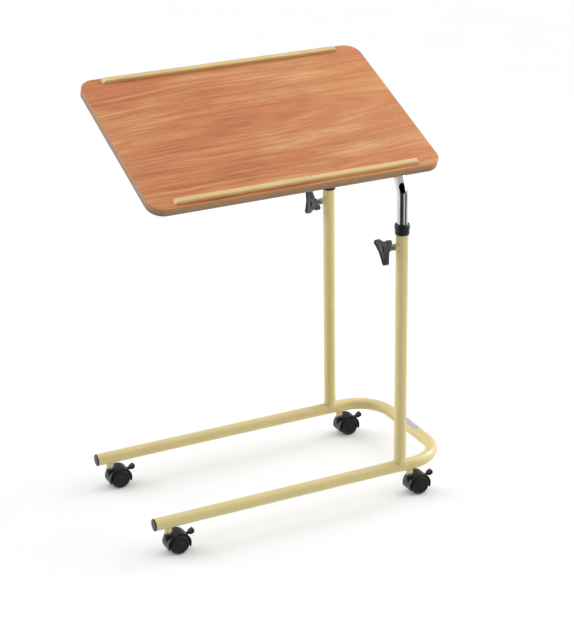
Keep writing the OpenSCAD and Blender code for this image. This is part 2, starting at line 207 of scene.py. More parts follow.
def chrome():
    """Bright chrome with faint rubbing marks along the tube."""
    g = Surface("chrome_look", Metallic=1.0)
    rub = g.noise(g.place(900, 900, 25), detail=3, rough=0.6)
    haze = g.noise(g.place(40, 40, 40), detail=3)
    g.colour(g.ramp(haze, (0.3, srgb(214, 213, 208)), (0.7, srgb(226, 226, 224))))
    g.rough(g.ramp(rub, (0.35, 0.05), (0.75, 0.13)))
    g.bump(rub, 0.01 * MM, 0.25)
    return g.material


def plated_steel():
    """Zinc-plated steel: a slightly mottled grey with a dull shine."""
    g = Surface("plated_steel_look", Metallic=1.0)
    spangle = g.add("TexVoronoi", {"Vector": g.place(1, 1, 1), "Scale": 420})
    cloud = g.noise(g.place(160, 160, 160), detail=4)
    zinc = g.ramp(cloud, (0.3, srgb(168, 170, 172)), (0.7, srgb(205, 205, 200)))
    g.colour(g.mix(0.35, zinc, spangle, "SOFT_LIGHT"))
    g.rough(g.ramp(cloud, (0.3, 0.24), (0.7, 0.42)))
    g.bump(g.noise(g.place(1500, 1500, 1500), detail=2), 0.02 * MM, 0.5)
    return g.material


def plastic(name, dark, light, rough, grain, depth):
    """Moulded plastic: a fine spark-eroded grain, rubbed smoother in places."""
    g = Surface(name)
    cloud = g.noise(g.place(70, 70, 70), detail=4)
    pits = g.noise(g.place(grain, grain, grain), detail=3, rough=0.6)
    g.colour(g.ramp(cloud, (0.3, srgb(*dark)), (0.72, srgb(*light))))
    g.rough(g.ramp(cloud, (0.3, rough - 0.06), (0.7, rough + 0.08)))
    g.bump(pits, depth, 0.6)
    return g.material


def laminate():
    """Wood-print laminate: grain along X round a flat-sawn heart, with fibres, pores, streaks and burr, and
    painted light that makes it lighter and more orange towards +X.
    """
    g = Surface("wood_laminate_look", Specular_IOR_Level=0.3)
    x = g.add("SeparateXYZ", {0: g.place()}, out=0)
    y = g.add("SeparateXYZ", {0: g.place()}, out=1)

    def swing(place, amount, detail=2):
        return g.math("MULTIPLY", g.math("SUBTRACT", g.noise(place, detail), 0.5), amount)

    def grain(along_scale, across_scale, detail, rough=0.5):
        """Noise drawn out along the grain."""
        along_grain = g.math("MULTIPLY", x, along_scale)
        across_grain = g.math("MULTIPLY", depth, across_scale)
        return g.noise(g.add("CombineXYZ", {0: along_grain, 1: across_grain}), detail, rough)

    drift = swing(g.place(1.6, 2.6, 1), 0.07)
    ripple = swing(g.place(8, 26, 1), 0.012)
    slant = g.math("SUBTRACT", y, g.math("MULTIPLY", x, 0.04))
    across = g.math("ADD", g.math("ADD", slant, drift), ripple)
    along = g.math("MULTIPLY", g.math("ADD", x, 0.18), 0.07)
    depth = g.math("SQRT", g.math("ADD", g.math("POWER", across, 2.0), g.math("POWER", along, 2.0)))

    cloud = g.math("MULTIPLY", g.noise(g.place(3.6, 10, 1), detail=3, rough=0.6), 0.3)
    broad = g.math("MULTIPLY", grain(1.7, 24, 3), 0.36)
    fine = g.math("MULTIPLY", grain(3.4, 130, 4, 0.7), 0.36)
    level = g.math("ADD", g.math("ADD", broad, cloud), fine)
    tone = g.ramp(
        level,
        (0.395, srgb(190, 108, 65)),
        (0.45, srgb(206, 127, 78)),
        (0.50, srgb(216, 141, 88)),
        (0.545, srgb(224, 155, 100)),
        (0.605, srgb(234, 179, 124)),
    )
    late = g.fade(grain(2.2, 150, 2, 0.5), 0.57, 0.68)
    tone = g.mix(g.math("MULTIPLY", late, 0.25), tone, srgb(180, 96, 58))
    rose = g.fade(g.noise(g.place(5, 17, 3), detail=4, rough=0.6), 0.5, 0.66)
    tone = g.mix(g.math("MULTIPLY", rose, 0.5), tone, srgb(208, 112, 70))

    fibres = g.noise(g.place(14, 560, 1), detail=4, rough=0.62)
    fibre_shade = g.ramp(fibres, (0.32, srgb(196, 188, 182)), (0.68, srgb(255, 255, 255)))
    tone = g.mix(0.6, tone, fibre_shade, "MULTIPLY")
    pores = g.fade(g.noise(g.place(60, 1300, 1), detail=2), 0.6, 0.74)
    tone = g.mix(g.math("MULTIPLY", pores, 0.25), tone, srgb(150, 86, 56))
    streaks = g.fade(grain(1.6, 110, 2), 0.62, 0.72)
    tone = g.mix(g.math("MULTIPLY", streaks, 0.35), tone, srgb(238, 184, 128))

    burr_patch = g.fade(g.noise(g.place(5, 26, 1), detail=2), 0.53, 0.63)
    burr_place = g.math("MULTIPLY", burr_patch, g.fade(x, 0.05, 0.12))
    burr = g.fade(g.noise(g.place(190, 240, 1), detail=3, rough=0.7), 0.5, 0.6)
    tone = g.mix(g.math("MULTIPLY", g.math("MULTIPLY", burr, burr_place), 0.5), tone, srgb(158, 84, 50))
    # Painted light: the top grows lighter and more orange towards +X, as if lit more from the right.
    painted_light_towards_x = g.fade(x, 0.0, 0.3)
    tone = g.mix(g.math("MULTIPLY", painted_light_towards_x, 0.16), tone, srgb(250, 190, 120))
    g.colour(tone)
    g.rough(g.ramp(fibres, (0.3, 0.36), (0.7, 0.46)))
    g.bump(g.math("ADD", fibres, g.math("MULTIPLY", pores, -0.6)), 0.05 * MM, 0.3)
    return g.material


def backing():
    """Pale balancing sheet under the top: a faint paper mottle and a few long rubs."""
    g = Surface("backing_sheet_look", Specular_IOR_Level=0.3)
    mottle = g.noise(g.place(60, 90, 60), detail=5, rough=0.6)
    rubs = g.fade(g.noise(g.place(5, 160, 1), detail=3), 0.6, 0.75)
    tone = g.ramp(mottle, (0.3, srgb(206, 199, 186)), (0.7, srgb(220, 214, 202)))
    g.colour(g.mix(g.math("MULTIPLY", rubs, 0.25), tone, srgb(184, 174, 158)))
    g.rough(g.ramp(mottle, (0.3, 0.5), (0.7, 0.62)))
    g.bump(mottle, 0.04 * MM, 0.4)
    return g.material


def edge_strip():
    """Wood-print edge banding: olive brown, streaked along the edge, with a painted highlight that makes it
    lighter and warmer towards its upper arris.
    """
    g = Surface("edge_strip_look", Coat_Weight=0.1, Coat_Roughness=0.4)
    streaks = g.noise(g.place(9, 9, 420), detail=4, rough=0.6)
    tone = g.ramp(streaks, (0.3, srgb(136, 110, 76)), (0.5, srgb(150, 124, 88)), (0.72, srgb(166, 140, 102)))
    height = g.add("SeparateXYZ", {0: g.place()}, out=2)
    # Painted highlight: the upper part of the edge, below the arris, is mixed towards a light warm brown.
    painted_arris_highlight = g.fade(height, TOP_RISE - 12 * MM, TOP_RISE - 2 * MM)
    g.colour(g.mix(g.math("MULTIPLY", painted_arris_highlight, 0.6), tone, srgb(190, 132, 86)))
    g.rough(g.ramp(streaks, (0.3, 0.42), (0.7, 0.55)))
    g.bump(streaks, 0.05 * MM, 0.4)
    return g.material


def lip_finish():
    """Pale lacquered strip with faint grain along its length."""
    g = Surface("lip_finish_look", Coat_Weight=0.3, Coat_Roughness=0.25)
    grain = g.noise(g.place(8, 260, 260), detail=4, rough=0.6)
    cloud = g.noise(g.place(18, 60, 60), detail=3)
    tone = g.ramp(cloud, (0.3, srgb(224, 189, 124)), (0.7, srgb(236, 204, 140)))
    g.colour(g.mix(0.35, tone, g.ramp(grain, (0.3, 0.72), (0.7, 1.0)), "MULTIPLY"))
    g.rough(g.ramp(grain, (0.3, 0.38), (0.7, 0.5)))
    g.bump(grain, 0.04 * MM, 0.35)
    return g.material


def label_film():
    """Blank satin label film, very slightly wrinkled."""
    g = Surface("label_film_look", Coat_Weight=0.4, Coat_Roughness=0.2)
    cloud = g.noise(g.place(120, 120, 120), detail=3)
    g.colour(g.ramp(cloud, (0.3, srgb(186, 185, 193)), (0.7, srgb(205, 204, 211))))
    g.rough(g.ramp(cloud, (0.3, 0.3), (0.7, 0.42)))
    g.bump(g.noise(g.place(260, 90, 260), detail=2), 0.08 * MM, 0.4)
    return g.material


LOOKS = {
    "cream_paint": powder_coat(),
    "chrome": chrome(),
    "black_plastic": plastic("black_plastic_look", (24, 24, 25), (38, 38, 40), 0.42, 900, 0.03 * MM),
    "knob_plastic": plastic("knob_plastic_look", (52, 53, 54), (74, 75, 76), 0.5, 700, 0.06 * MM),
    "plated_steel": plated_steel(),
    "wood_laminate": laminate(),
    "edge_strip": edge_strip(),
    "lip_finish": lip_finish(),
    "label_film": label_film(),
    "castor_plastic": plastic("castor_plastic_look", (27, 27, 29), (40, 40, 42), 0.40, 800, 0.04 * MM),
    "wheel_nylon": plastic("wheel_nylon_look", (24, 24, 25), (34, 34, 35), 0.46, 650, 0.03 * MM),
}


# ---------- mesh helpers ----------


def soften(points, radius, steps=5):
    """A closed outline with each corner rounded, as far as its two edges have room."""
    out = []
    count = len(points)
    for i, point in enumerate(points):
        before, here, after = (Vector(points[j]) for j in (i - 1, i, (i + 1) % count))
        a, b = before - here, after - here
        if a.length < 1e-9 or b.length < 1e-9:
            continue
        angle = a.angle(b)
        if abs(angle - math.pi) < 0.06:
            out.append(tuple(here))
            continue
        r = radius[i] if hasattr(radius, "__len__") else radius
        reach = min(r / math.tan(angle / 2), a.length * 0.48, b.length * 0.48)
        start, end = here + a.normalized() * reach, here + b.normalized() * reach
        for k in range(steps + 1):
            t = k / steps
            out.append(tuple(start * (1 - t) ** 2 + here * 2 * t * (1 - t) + end * t**2))
    return out


def inset(outline, distance):
    """A closed outline moved inwards, by its corners' bisectors. It runs anticlockwise."""
    out = []
    for i, point in enumerate(outline):
        before, here, after = (Vector(outline[j]) for j in (i - 1, i, (i + 1) % len(outline)))
        a, b = (here - before).normalized(), (after - here).normalized()
        inward = Vector((-a.y - b.y, a.x + b.x))
        scale = max(inward.length_squared / 2, 0.3)
        out.append(tuple(here + inward * (distance / scale)))
    return out


def arc(radius, start, end, steps, centre=(0, 0)):
    """Points on a circle, between two angles in degrees."""
    turns = [math.radians(start + (end - start) * k / steps) for k in range(steps + 1)]
    return [(centre[0] + radius * math.cos(t), centre[1] + radius * math.sin(t)) for t in turns]


def mesh_of(verts, faces):
    """A clean mesh with its faces turned outwards."""
    mesh = bpy.data.meshes.new("part")
    mesh.from_pydata([tuple(v) for v in verts], [], faces)
    bm = bmesh.new()
    bm.from_mesh(mesh)
    bmesh.ops.remove_doubles(bm, verts=bm.verts, dist=1e-6)
    bmesh.ops.recalc_face_normals(bm, faces=bm.faces)
    bm.to_mesh(mesh)
    bm.free()
    return mesh


def grid_faces(rows, columns, wrap_rows=False):
    """Faces between neighbouring rows of a grid whose rows are closed loops."""
    faces = []
    for i in range(rows if wrap_rows else rows - 1):
        j = (i + 1) % rows
        for k in range(columns):
            m = (k + 1) % columns
            faces.append((i * columns + k, i * columns + m, j * columns + m, j * columns + k))
    return faces


def lathe(profile, steps=72):
    """A closed profile of (radius, height) turned round Z."""
    verts = []
    for radius, height in profile:
        for k in range(steps):
            turn = 2 * math.pi * k / steps
            verts.append((radius * math.cos(turn), radius * math.sin(turn), height))
    return mesh_of(verts, grid_faces(len(profile), steps, wrap_rows=True))


def layered(outline, layers):
    """A closed outline in XY stacked along Z: each layer is (inset, height), and both ends are capped."""
    verts, count = [], len(outline)
    for distance, height in layers:
        verts += [(x, y, height) for x, y in inset(outline, distance)]
    faces = grid_faces(len(layers), count)
    faces.append(tuple(reversed(range(count))))
    faces.append(tuple(range(len(verts) - count, len(verts))))
    return mesh_of(verts, faces)


def band_round(outline, section):
    """A closed section of (inset, height) carried round an outline."""
    verts = []
    for distance, height in section:
        verts += [(x, y, height) for x, y in inset(outline, distance)]
    return mesh_of(verts, grid_faces(len(section), len(outline), wrap_rows=True))


def tube(path, normal, radius, bore, steps=56):
    """A round tube along a flat path, whose plane's normal is given. Its two ends are open."""
    verts, normal = [], Vector(normal)
    path = [Vector(p) for p in path]
    rings = [(i, radius) for i in range(len(path))] + [(i, bore) for i in reversed(range(len(path)))]
    for i, r in rings:
        along = (path[min(i + 1, len(path) - 1)] - path[max(i - 1, 0)]).normalized()
        side = along.cross(normal)
        for k in range(steps):
            turn = 2 * math.pi * k / steps
            verts.append(path[i] + r * (math.cos(turn) * normal + math.sin(turn) * side))
    return mesh_of(verts, grid_faces(len(rings), steps, wrap_rows=True))


def thread(radius, pitch, length, depth=0.5 * MM, steps=36):
    """A screw with a true helical thread, from z = 0 up to its length."""
    rows = int(length / pitch * 8)
    verts = []
    for i in range(rows + 1):
        z = length * i / rows
        fade = min(1.0, z / pitch, (length - z) / pitch)
        for k in range(steps):
            turn = k / steps
            groove = abs(((z / pitch - turn) % 1) * 2 - 1) * depth * fade
            angle = 2 * math.pi * turn
            r = radius - groove - (1 - fade) * depth
            verts.append((r * math.cos(angle), r * math.sin(angle), z))
    faces = grid_faces(rows + 1, steps)
    faces += [tuple(reversed(range(steps))), tuple(range(rows * steps, (rows + 1) * steps))]
    return mesh_of(verts, faces)


def moved(mesh, matrix):
    """A copy of a mesh, placed by a matrix."""
    copy = mesh.copy()
    copy.transform(matrix)
    if matrix.determinant() < 0:
        copy.flip_normals()
    return copy


def joined(*meshes):
    """One mesh with all of these in it."""
    bm = bmesh.new()
    for mesh in meshes:
        bm.from_mesh(mesh)
    out = bpy.data.meshes.new("part")
    bm.to_mesh(out)
    bm.free()
    return out


def evaluated(obj):
    """The object's mesh with its modifiers applied; the object is removed."""
    bpy.context.view_layer.update()
    graph = bpy.context.evaluated_depsgraph_get()
    mesh = bpy.data.meshes.new_from_object(obj.evaluated_get(graph))
    bpy.data.objects.remove(obj)
    return mesh


def moulded(mesh, voxel, smooth=4, keep=0.35):
    """Overlapping closed solids fused into one moulding with softened edges."""
    obj = bpy.data.objects.new("mould", mesh)
    bpy.context.scene.collection.objects.link(obj)
    remesh = obj.modifiers.new("remesh", "REMESH")
    remesh.mode, remesh.voxel_size = "VOXEL", voxel
    soft = obj.modifiers.new("soft", "SMOOTH")
    soft.factor, soft.iterations = 0.5, smooth
    fewer = obj.modifiers.new("fewer", "DECIMATE")
    fewer.ratio = keep
    return evaluated(obj)


def bead(points, radius, ripple=0.14):
    """A closed weld bead along points, with the ripples of a hand-held torch."""
    curve = bpy.data.curves.new("bead", "CURVE")
    curve.dimensions, curve.bevel_depth, curve.bevel_resolution = "3D", radius, 4
    spline = curve.splines.new("POLY")
    spline.points.add(len(points) - 1)
    for i, (target, point) in enumerate(zip(spline.points, points)):
        target.co = (*point, 1)
        target.radius = 1 + ripple * math.sin(i * 2.1)
    spline.use_cyclic_u = True
    obj = bpy.data.objects.new("bead", curve)
    bpy.context.scene.collection.objects.link(obj)
    return evaluated(obj)


def piece(name, mesh, slot, body, stands_for=(), at=None, sharp=38, look=None):
    """Puts a mesh in the scene as a piece of the object: smooth, with crisp edges and a finish."""
    mesh = mesh if mesh.users == 0 else mesh.copy()
    mesh.materials.clear()
    mesh.materials.append(look or LOOKS[slot])
    mesh.shade_smooth()
    mesh.set_sharp_from_angle(angle=math.radians(sharp))
    obj = bpy.data.objects.new(name, mesh)
    bpy.context.scene.collection.objects.link(obj)
    obj.matrix_world = at if at is not None else Matrix.Identity(4)
    weighted = obj.modifiers.new("weighted", "WEIGHTED_NORMAL")
    weighted.keep_sharp = True
    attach(obj, body)
    if stands_for:
        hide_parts(*([stands_for] if isinstance(stands_for, str) else stands_for))
    return obj


def turned(axis, degrees):
    return Matrix.Rotation(math.radians(degrees), 4, axis)


def shift(x, y, z):
    return Matrix.Translation((x, y, z))


# ---------- CAD nodes that stay: finish and softened edges ----------

for name, node in nodes.items():
    slot_name = node.data.materials[0].name
    node.data.materials[0] = LOOKS[slot_name]
    edge = node.modifiers.new("edge", "BEVEL")
    edge.width, edge.segments, edge.limit_method = 0.45 * MM, 2, "ANGLE"
    edge.angle_limit, edge.use_clamp_overlap = math.radians(40), True


# ---------- floor frame ----------


def floor_path(start_x):
    """Centre line of the floor tube, from one open end round to the other."""
    bend_x = CROSS_X - FLOOR_BEND
    low, high = LEG_Y["near"] + FLOOR_BEND, LEG_Y["far"] - FLOOR_BEND
    straight = 40
    path = [(start_x + (bend_x - start_x) * k / straight, LEG_Y["near"]) for k in range(straight)]
    path += arc(FLOOR_BEND, -90, 0, 28, (bend_x, low))
    path += arc(FLOOR_BEND, 0, 90, 28, (bend_x, high))
    path += [(bend_x + (start_x - bend_x) * k / straight, LEG_Y["far"]) for k in range(1, straight + 1)]
    return [(x, y, LEG_Z) for x, y in path]


piece(
    "floor_tube_painted",
    tube(floor_path(floor_low.x), (0, 0, 1), TUBE_R, TUBE_R - TUBE_WALL),
    "cream_paint",
    "floor_frame",
    "floor_tube",
)

cap_profile = soften(
    [
        (0, -0.4 * MM), (TUBE_R - 4.2 * MM, -0.4 * MM), (TUBE_R - 3.4 * MM, 0.2 * MM),
        (TUBE_R, 0.2 * MM), (TUBE_R, 2.5 * MM), (TUBE_R - TUBE_WALL, 2.5 * MM),
        (TUBE_R - TUBE_WALL, 18 * MM), (TUBE_R - 4 * MM, 18 * MM), (TUBE_R - 4 * MM, 4 * MM), (0, 4 * MM),
    ],
    [0, 0.5 * MM, 0.5 * MM, 0.9 * MM, 0.3 * MM, 0.3 * MM, 1 * MM, 1 * MM, 1 * MM, 0],
)
cap_mesh = lathe([(r, max(z, 0.0)) for r, z in cap_profile])
for side in SIDES:
    piece(
        f"end_cap_{side}_moulded",
        cap_mesh,
        "black_plastic",
        "floor_frame",
        f"end_cap_{side}",
        at=shift(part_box(f"end_cap_{side}")[0].x, LEG_Y[side], LEG_Z) @ turned("Y", 90),
    )


def coped_tube(z_top):
    """An upright: round tube whose foot is cut to sit on the leg."""
    steps, rows, verts = 64, 30, []
    for inner, order in ((False, range(rows + 1)), (True, range(rows, -1, -1))):
        r = TUBE_R - (TUBE_WALL if inner else 0)
        for i in order:
            for k in range(steps):
                turn = 2 * math.pi * k / steps
                x, y = r * math.cos(turn), r * math.sin(turn)
                foot = math.sqrt(max(TUBE_R**2 - y**2, 0))
                share = (i / rows) ** 1.5
                verts.append((x, y, foot + (z_top - foot) * share))
    return mesh_of(verts, grid_faces(2 * (rows + 1), steps, wrap_rows=True))


upright_mesh = coped_tube(UPRIGHT_TOP - LEG_Z)
for side in SIDES:
    piece(
        f"upright_{side}_painted",
        upright_mesh,
        "cream_paint",
        "floor_frame",
        f"upright_{side}",
        at=shift(UPRIGHT_X, LEG_Y[side], LEG_Z),
    )

collar_profile = soften(
    [
        (TUBE_R, 0), (COLLAR_R - 1.5 * MM, 0), (COLLAR_R - 1.0 * MM, 1.4 * MM),
        (COLLAR_R - 0.8 * MM, 11.5 * MM),
        (COLLAR_R, 12.6 * MM), (COLLAR_R, COLLAR_H - 3.0 * MM), (COLLAR_R - 1.3 * MM, COLLAR_H),
        (INNER_R + 0.1 * MM, COLLAR_H), (INNER_R + 0.1 * MM, COLLAR_H - 4 * MM), (TUBE_R, COLLAR_H - 4 * MM),
    ],
    [0.2 * MM, 0.8 * MM, 0.8 * MM, 0.6 * MM, 0.6 * MM, 1.5 * MM, 1.0 * MM, 0.6 * MM, 0.1 * MM, 0.1 * MM],
)
collar_mesh = lathe(collar_profile)
for side in SIDES:
    piece(
        f"collar_{side}_moulded",
        collar_mesh,
        "black_plastic",
        "floor_frame",
        f"collar_{side}",
        at=shift(UPRIGHT_X, LEG_Y[side], COLLAR_Z),
    )

# Weld beads: upright on leg, clamp boss on upright, castor socket in leg
welds = []
BOSS_R = extent("clamp_boss_near").z / 2
SOCKET_R = extent("castor_1_stem").x / 2 + 1 * MM
ring = [2 * math.pi * k / 72 for k in range(72)]
for side in SIDES:
    y0 = LEG_Y[side]
    foot = [
        (
            UPRIGHT_X + TUBE_R * math.cos(t),
            y0 + TUBE_R * math.sin(t),
            LEG_Z + TUBE_R * abs(math.cos(t)) + 0.2 * MM,
        )
        for t in ring
    ]
    boss = [
        (
            UPRIGHT_X - math.sqrt(TUBE_R**2 - (BOSS_R * math.cos(t)) ** 2),
            y0 + BOSS_R * math.cos(t),
            CLAMP_Z + BOSS_R * math.sin(t),
        )
        for t in ring
    ]
    welds += [bead(foot, 1.5 * MM), bead(boss, 1.0 * MM)]
for axle in CASTORS.values():
    x0, y0 = axle.x - CASTOR_TRAIL, axle.y
    seam = [
        (
            x0 + SOCKET_R * math.cos(t),
            y0 + SOCKET_R * math.sin(t),
            LEG_Z - math.sqrt(TUBE_R**2 - (SOCKET_R * math.sin(t)) ** 2),
        )
        for t in ring
    ]
    welds.append(bead(seam, 0.9 * MM))
piece("frame_welds", joined(*welds), "cream_paint", "floor_frame", sharp=80)


# A blank label that wraps the outside of the closed end
def label_patch():
    half_len, half_arc, corner, film = extent("blank_label").y / 2, 9.9 * MM, 2.5 * MM, 0.2 * MM
    columns, rows, centre_turn = 30, 14, math.radians(85)
    verts = []
    for radius in (TUBE_R + 0.02 * MM, TUBE_R + film):
        for j in range(rows + 1):
            v = -half_arc + 2 * half_arc * j / rows
            past = max(abs(v) - (half_arc - corner), 0)
            reach = half_len - corner + math.sqrt(max(corner**2 - past**2, 0))
            turn = centre_turn + v / TUBE_R
            for i in range(columns + 1):
                along = -reach + 2 * reach * i / columns
                verts.append((radius * math.cos(turn), along, radius * math.sin(turn)))
    faces, wide, sheet = [], columns + 1, (columns + 1) * (rows + 1)
    for j in range(rows):
        for i in range(columns):
            a = j * wide + i
            quad = (a, a + 1, a + wide + 1, a + wide)
            faces += [quad, tuple(reversed([q + sheet for q in quad]))]
    rim = [i for i in range(wide)] + [j * wide + columns for j in range(1, rows + 1)]
    rim += [rows * wide + i for i in reversed(range(columns))] + [j * wide for j in reversed(range(1, rows))]
    for a, b in zip(rim, rim[1:] + rim[:1]):
        faces.append((a, b, b + sheet, a + sheet))
    return mesh_of(verts, faces)


piece(
    "blank_label_film",
    label_patch(),
    "label_film",
    "floor_frame",
    "blank_label",
    at=shift(CROSS_X, middle("blank_label").y, LEG_Z),
)


# ---------- inner frame ----------


def inner_path():
    """Centre line of the inner tube, up one side, across and down the other."""
    top = INNER_TOP - INNER_R
    bend_z = top - INNER_BEND
    low, high = LEG_Y["near"] + INNER_BEND, LEG_Y["far"] - INNER_BEND
    straight = 30
    path = [(LEG_Y["near"], INNER_FOOT + (bend_z - INNER_FOOT) * k / straight) for k in range(straight)]
    path += arc(INNER_BEND, 180, 90, 26, (low, bend_z))
    path += arc(INNER_BEND, 90, 0, 26, (high, bend_z))
    path += [(LEG_Y["far"], bend_z + (INNER_FOOT - bend_z) * k / straight) for k in range(1, straight + 1)]
    return [(UPRIGHT_X, y, z) for y, z in path]


piece(
    "inner_frame_chromed",
    tube(inner_path(), (1, 0, 0), INNER_R, INNER_R - TUBE_WALL),
    "chrome",
    "lift_frame",
    "inner_frame",
)


# ---------- top ----------


def rounded_rect(length, depth, corner, steps=14):
    x, y = length / 2 - corner, depth / 2 - corner
    outline = []
    for start, cx, cy in ((0, x, y), (90, -x, y), (180, -x, -y), (270, x, -y)):
        outline += arc(corner, start, start + 90, steps, (cx, cy))
    return outline


UNDER_Z = TOP_RISE - TOP_THICK
board_at = TOP_MATRIX @ shift(TOP_X, 0, 0)
core = rounded_rect(TOP_LEN - 2 * BAND_T, TOP_DEPTH - 2 * BAND_T, TOP_CORNER - BAND_T)
board = piece(
    "table_top_laminate",
    layered(core, [(0.2 * MM, UNDER_Z + 0.05 * MM), (0, UNDER_Z + 0.3 * MM), (0, TOP_RISE)]),
    "wood_laminate",
    "tilting_top",
    "table_top",
    at=board_at,
)
board.data.materials.append(backing())
for face in board.data.polygons:
    if face.normal.z < -0.9:
        face.material_index = 1

arris, run = 1.3 * MM, BAND_T
turns = [math.radians(a) for a in range(0, 91, 15)]
quarter = [(arris * (1 - math.sin(t)), arris * (1 - math.cos(t))) for t in turns]
section = [(run, UNDER_Z)] + [(i, UNDER_Z + h) for i, h in quarter]
section += [(i, TOP_RISE - h) for i, h in reversed(quarter)] + [(run, TOP_RISE)]
piece(
    "edge_band_strip",
    band_round(rounded_rect(TOP_LEN, TOP_DEPTH, TOP_CORNER), section),
    "edge_strip",
    "tilting_top",
    "edge_band",
    at=board_at,
    sharp=60,
)

lip_section = soften(
    [(0, -0.8 * MM), (LIP_W, -0.8 * MM), (LIP_W, LIP_H), (0, LIP_H)],
    [0.1 * MM, 0.1 * MM, 4.2 * MM, 4.2 * MM],
    steps=8,
)
ends = [(0.9 * MM, 0), (0.35 * MM, 0.25 * MM), (0, 0.9 * MM)]
lip_layers = ends + [(i, LIP_LEN - h) for i, h in reversed(ends)]
lip_mesh = layered(lip_section, lip_layers)
for vert in lip_mesh.vertices:
    slope = max(vert.co.y, 0)
    vert.co.z += slope if vert.co.z < LIP_LEN / 2 else -slope
lip_mesh.transform(Matrix(((0, 0, 1, -LIP_LEN / 2), (1, 0, 0, 0), (0, 1, 0, TOP_RISE), (0, 0, 0, 1))))
for level, y0 in (
    ("low", -TOP_DEPTH / 2 + LOW_LIP_INSET),
    ("high", TOP_DEPTH / 2 - HIGH_LIP_INSET - LIP_W),
):
    piece(
        f"lip_{level}_strip",
        moved(lip_mesh, board_at @ shift(0, y0, 0)),
        "lip_finish",
        "tilting_top",
        f"lip_{level}",
        sharp=60,
    )


# ---------- clamp knobs ----------

KNOB_R = 32.5 * MM
KNOB_T = 12 * MM
LOBE_R = 5.8 * MM
LOBE_ROOT = 24 * MM
HUB_R = 14 * MM
BOSS_DEPTH = 6 * MM


def knob_outline():
    """Three rounded lobes with smooth valleys between them."""
    points, radii = [], []
    for turn in (0, 120, 240):
        spin = Matrix.Rotation(math.radians(turn), 2)
        valley = arc(HUB_R, -60, 0, 1)[0]
        tip = arc(LOBE_R, -90, 90, 8, (KNOB_R - LOBE_R, 0))
        lobe = [valley, (LOBE_ROOT, -LOBE_R), *tip, (LOBE_ROOT, LOBE_R)]
        points += [tuple(spin @ Vector(p)) for p in lobe]
        radii += [6 * MM, 8 * MM] + [4 * MM] * len(tip) + [8 * MM]
    return soften(points, radii, steps=4)


knob_lobes = layered(
    knob_outline(),
    [
        (1.2 * MM, 0), (0.4 * MM, 0.3 * MM), (0, 1.2 * MM), (0, KNOB_T - 2.2 * MM),
        (0.3 * MM, KNOB_T - 1 * MM), (0.9 * MM, KNOB_T - 0.3 * MM), (1.6 * MM, KNOB_T),
        (2.2 * MM, KNOB_T - 0.2 * MM), (2.7 * MM, KNOB_T - 0.8 * MM), (3.1 * MM, KNOB_T - 2.6 * MM),
    ],
)
knob_boss = lathe(
    soften(
        [(4 * MM, -BOSS_DEPTH), (8 * MM, -BOSS_DEPTH), (9 * MM, 2 * MM), (4 * MM, 2 * MM)],
        [0.3 * MM, 0.8 * MM, 0.1 * MM, 0.1 * MM],
    )
)
knob_cap = lathe(
    soften(
        [
            (0, KNOB_T - 4 * MM), (8.2 * MM, KNOB_T - 4 * MM), (7.6 * MM, KNOB_T - 0.8 * MM),
            (6.6 * MM, KNOB_T - 0.3 * MM), (0, KNOB_T - 0.1 * MM),
        ],
        [0, 0.1 * MM, 0.5 * MM, 0.5 * MM, 0],
    )
)
knob_mesh = joined(knob_lobes, knob_boss, knob_cap)


def hex_nut(across, height, bore):
    """A hexagonal nut with chamfered faces and softened corners, and a round washer on its top."""
    corners = arc(across / 2 / math.cos(math.radians(30)), 0, 300, 5)
    outline = soften(corners, 0.6 * MM, steps=3)
    body = layered(outline, [(0.9 * MM, 0), (0, 0.5 * MM), (0, height - 0.5 * MM), (0.9 * MM, height)])
    rim, top = across / 2 + 0.8 * MM, height + 0.8 * MM
    washer = lathe(soften([(bore, height), (rim, height), (rim, top), (bore, top)], 0.25 * MM, steps=2))
    return joined(body, washer)


NUT_T = 4.2 * MM
SCREW_NODES = {"knob_near": "knob_screw_near", "knob_far": "knob_screw_far", "tilt_knob": "tilt_screw"}


def clamp_piece(name, at, clamp_body, nut_start, tip, knob_back, spin):
    """A knob and its threaded screw, both along local +Z from the tube's axis."""
    rod = moved(thread(3.95 * MM, 1.25 * MM, knob_back + 2 * MM - tip), shift(0, 0, tip))
    nut = moved(hex_nut(12 * MM, NUT_T, 3.9 * MM), shift(0, 0, nut_start))
    node = SCREW_NODES[name]
    piece(f"{node}_threaded", joined(rod, nut), "plated_steel", clamp_body, node, at=at, sharp=30)
    knob = moved(knob_mesh, turned("Z", spin))
    knob_at = at @ shift(0, 0, knob_back)
    piece(f"{name}_moulded", knob, "knob_plastic", clamp_body, name, at=knob_at, sharp=50)


KNOB_BACK = UPRIGHT_X - (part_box("knob_near")[1].x - BOSS_DEPTH)
NUT_START = TUBE_R + 6.5 * MM
KNOB_SPIN = {"near": 196, "far": 26, "tilt": 90}
TILT_KNOB_BACK = 46 * MM
TILT_NUT_START = 33.5 * MM
for side in SIDES:
    clamp_piece(
        f"knob_{side}",
        shift(UPRIGHT_X, LEG_Y[side], CLAMP_Z) @ turned("Y", -90),
        f"clamp_{side}",
        NUT_START,
        INNER_R + 0.3 * MM,
        KNOB_BACK,
        KNOB_SPIN[side],
    )
SADDLE_X = middle("saddle_clamp").x
clamp_piece(
    "tilt_knob",
    TOP_MATRIX @ shift(SADDLE_X, 0, 0) @ turned("X", 90),
    "tilt_clamp",
    TILT_NUT_START,
    TUBE_R + 0.3 * MM,
    TILT_KNOB_BACK,
    KNOB_SPIN["tilt"],
)


# ---------- castors ----------

